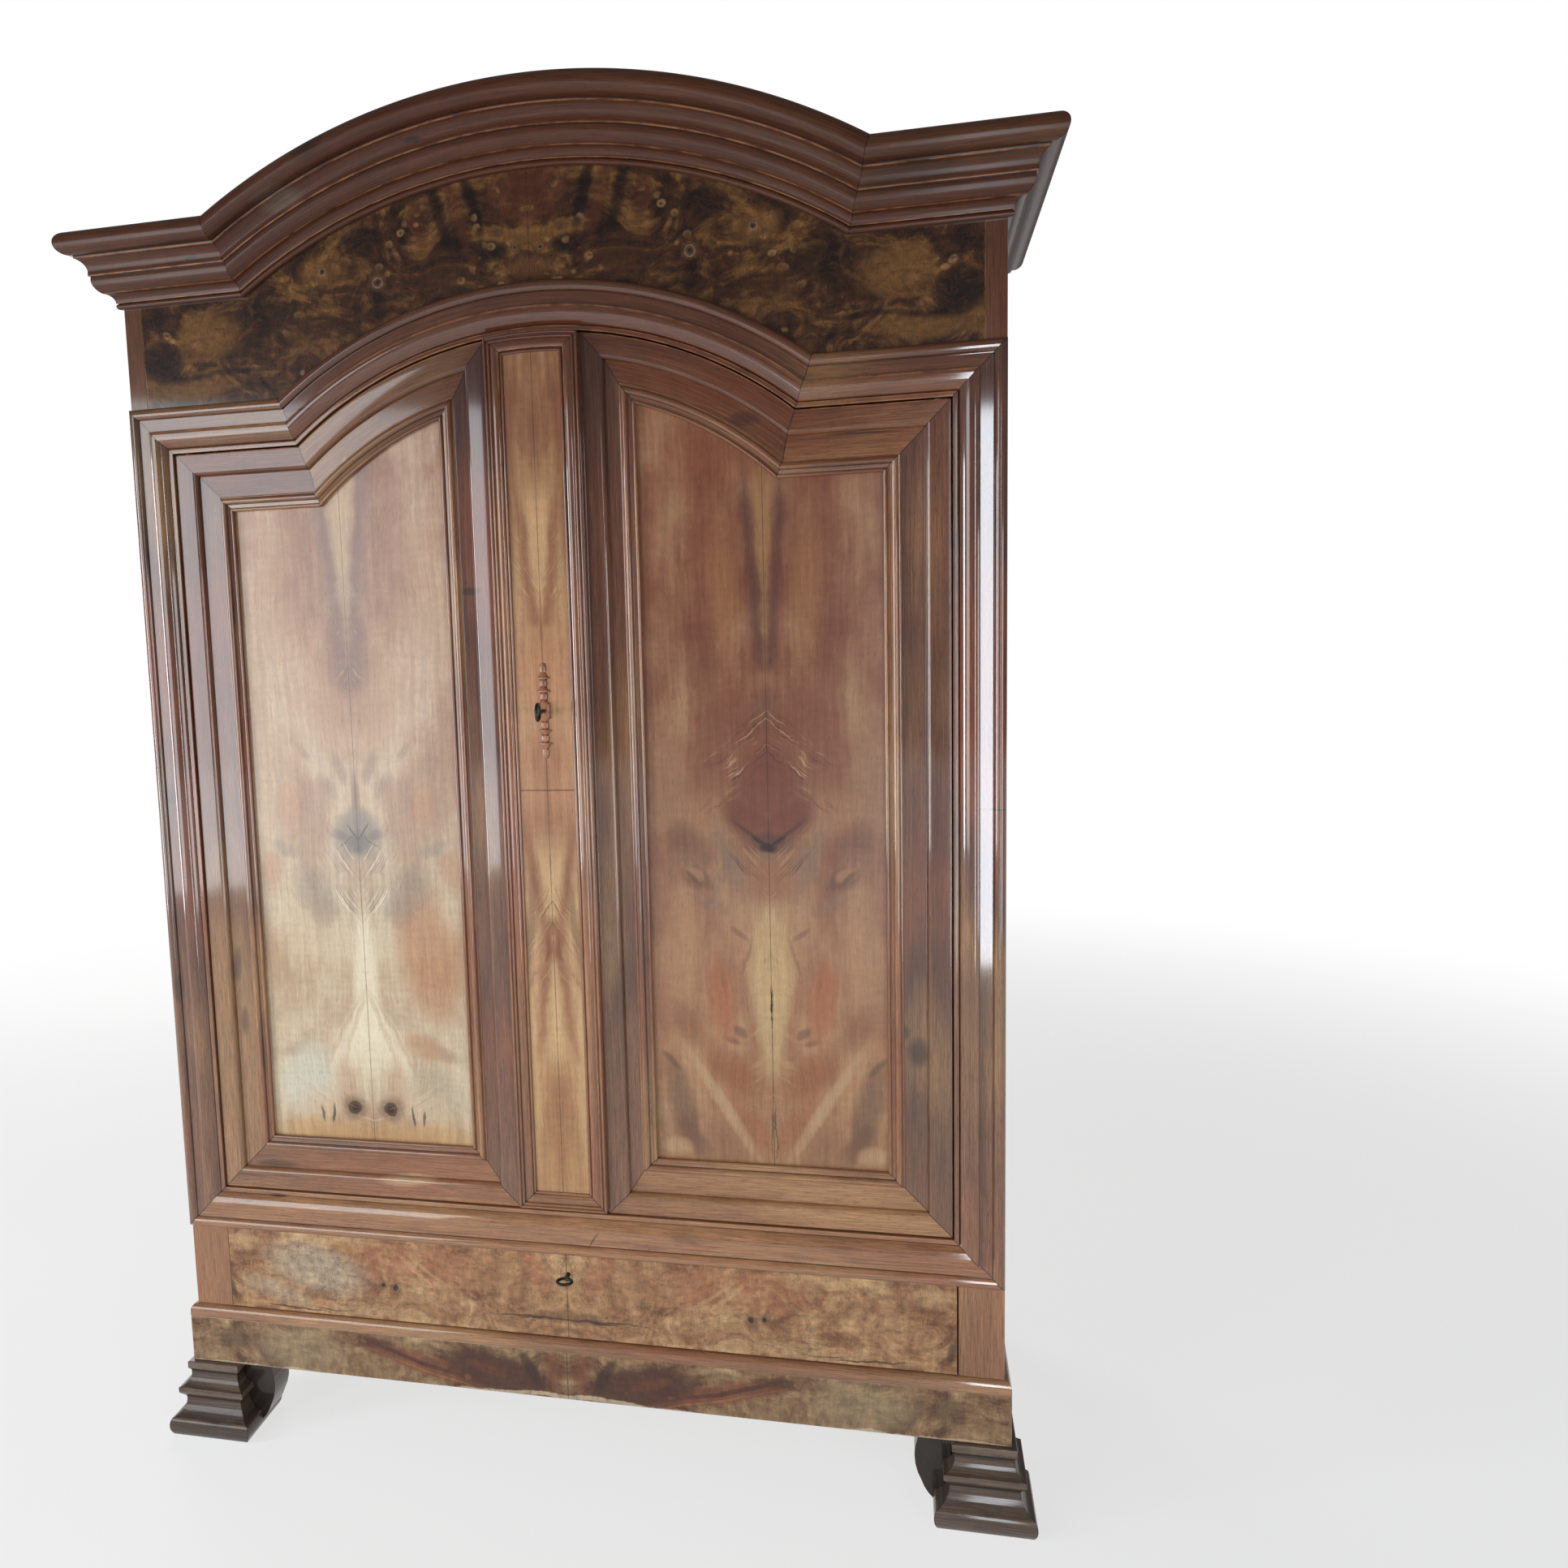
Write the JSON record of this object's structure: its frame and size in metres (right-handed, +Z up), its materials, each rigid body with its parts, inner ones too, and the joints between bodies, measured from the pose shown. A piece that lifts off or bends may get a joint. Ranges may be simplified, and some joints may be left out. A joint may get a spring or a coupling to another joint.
{
  "type": "wardrobe",
  "caption": "Tall walnut wardrobe with an arched moulded cornice, two framed doors with a central pilaster, a base drawer, a moulded plinth and scrolled block feet.",
  "frame": {"origin": "on the floor, under the middle of the overall bounding box", "axes": "+Z up, the doors face -Y, +X to the right seen from the front"},
  "size_m": [1.492, 0.621, 2.15],
  "materials": {
    "walnut_moulding": "french polished walnut",
    "walnut_frame": "french polished walnut veneer",
    "burl_veneer": "french polished book-matched burl",
    "panel_veneer": "french polished crotch veneer",
    "pilaster_veneer": "french polished flame veneer",
    "side_walnut": "polished walnut",
    "carved_walnut": "waxed carving",
    "carcass_pine": "bare aged pine",
    "rail_beech": "turned beech",
    "dark_iron": "wrought, dark",
    "key_iron": "blackened"
  },
  "bodies": {
    "carcass": {"cornice_arch": "walnut_moulding", "cornice_end_left": "walnut_moulding", "cornice_end_right": "walnut_moulding", "cornice_returns": "walnut_moulding", "surround_arch": "walnut_moulding", "surround_heads": "walnut_moulding", "surround_side_left": "walnut_moulding", "surround_side_right": "walnut_moulding", "surround_bottom": "walnut_moulding", "front_post_left": "walnut_frame", "front_post_right": "walnut_frame", "rear_posts": "carcass_pine", "frieze_board": "burl_veneer", "side_rails": "walnut_frame", "side_panels": "side_walnut", "back_frame": "carcass_pine", "back_panels": "carcass_pine", "floor_board": "carcass_pine", "top_board": "carcass_pine", "front_rail": "carcass_pine", "ledge_frame": "walnut_moulding", "plinth_front": "burl_veneer", "plinth_sides": "side_walnut", "front_foot_left": "walnut_frame", "front_foot_right": "walnut_frame", "rear_feet": "carcass_pine", "pivot_plates": "dark_iron", "slide_bolt_keeper": "dark_iron", "drawer_runners": "carcass_pine", "shelf": "carcass_pine", "shelf_cleats": "carcass_pine", "rail_sockets": "rail_beech", "hanging_rail": "rail_beech"},
    "left_door": {"door_left_stiles": "walnut_frame", "door_left_rails": "walnut_frame", "door_left_panel_moulding": "walnut_moulding", "door_left_panel": "panel_veneer", "door_left_pivots": "dark_iron", "slide_bolt_guides": "dark_iron", "door_lock_keeper": "dark_iron"},
    "right_door": {"door_right_stiles": "walnut_frame", "door_right_rails": "walnut_frame", "door_right_panel_moulding": "walnut_moulding", "door_right_panel": "panel_veneer", "door_right_pivots": "dark_iron", "pilaster_core": "walnut_frame", "pilaster_moulding": "walnut_moulding", "pilaster_panel": "pilaster_veneer", "escutcheon": "carved_walnut", "door_lock_case": "dark_iron"},
    "drawer": {"drawer_front": "burl_veneer", "drawer_box": "carcass_pine", "drawer_bottom": "carcass_pine", "drawer_lock_case": "dark_iron"},
    "door_bolt": {"door_lock_bolt": "dark_iron"},
    "door_key": {"door_key": "key_iron"},
    "drawer_bolt": {"drawer_lock_bolt": "dark_iron"},
    "drawer_key": {"drawer_key": "key_iron"},
    "lower_slide_bolt": {"slide_bolt_lower": "dark_iron"},
    "upper_slide_bolt": {"slide_bolt_upper": "dark_iron"}
  },
  "joints": [
    {"name": "left_door_hinge", "type": "hinge", "parent": "carcass", "child": "left_door", "pos_m": [-0.582, -0.2345, 0.447], "axis": [0, 0, -1], "range_deg": [0, 105]},
    {"name": "right_door_hinge", "type": "hinge", "parent": "carcass", "child": "right_door", "pos_m": [0.582, -0.2345, 0.447], "axis": [0, 0, 1], "range_deg": [0, 105]},
    {"name": "drawer_slide", "type": "slide", "parent": "carcass", "child": "drawer", "axis": [0, -1, 0], "range_m": [0, 0.36]},
    {"name": "door_key_turn", "type": "hinge", "parent": "right_door", "child": "door_key", "pos_m": [0, -0.2395, 1.249], "axis": [0, -1, 0], "range_deg": [0, 360]},
    {"name": "door_bolt_slide", "type": "slide", "parent": "right_door", "child": "door_bolt", "axis": [-1, 0, 0], "range_m": [0, 0.018]},
    {"name": "drawer_key_turn", "type": "hinge", "parent": "drawer", "child": "drawer_key", "pos_m": [0, -0.2395, 0.337], "axis": [0, -1, 0], "range_deg": [0, 360]},
    {"name": "drawer_bolt_slide", "type": "slide", "parent": "drawer", "child": "drawer_bolt", "axis": [0, 0, 1], "range_m": [0, 0.01]},
    {"name": "lower_bolt_slide", "type": "slide", "parent": "left_door", "child": "lower_slide_bolt", "axis": [0, 0, -1], "range_m": [0, 0.02]},
    {"name": "upper_bolt_slide", "type": "slide", "parent": "left_door", "child": "upper_slide_bolt", "axis": [0, 0, 1], "range_m": [0, 0.02]}
  ],
  "couplings": [
    {"joint": "door_bolt_slide", "follows": "door_key_turn", "m_per_rad": 0.002864},
    {"joint": "drawer_bolt_slide", "follows": "drawer_key_turn", "m_per_rad": 0.001591}
  ]
}
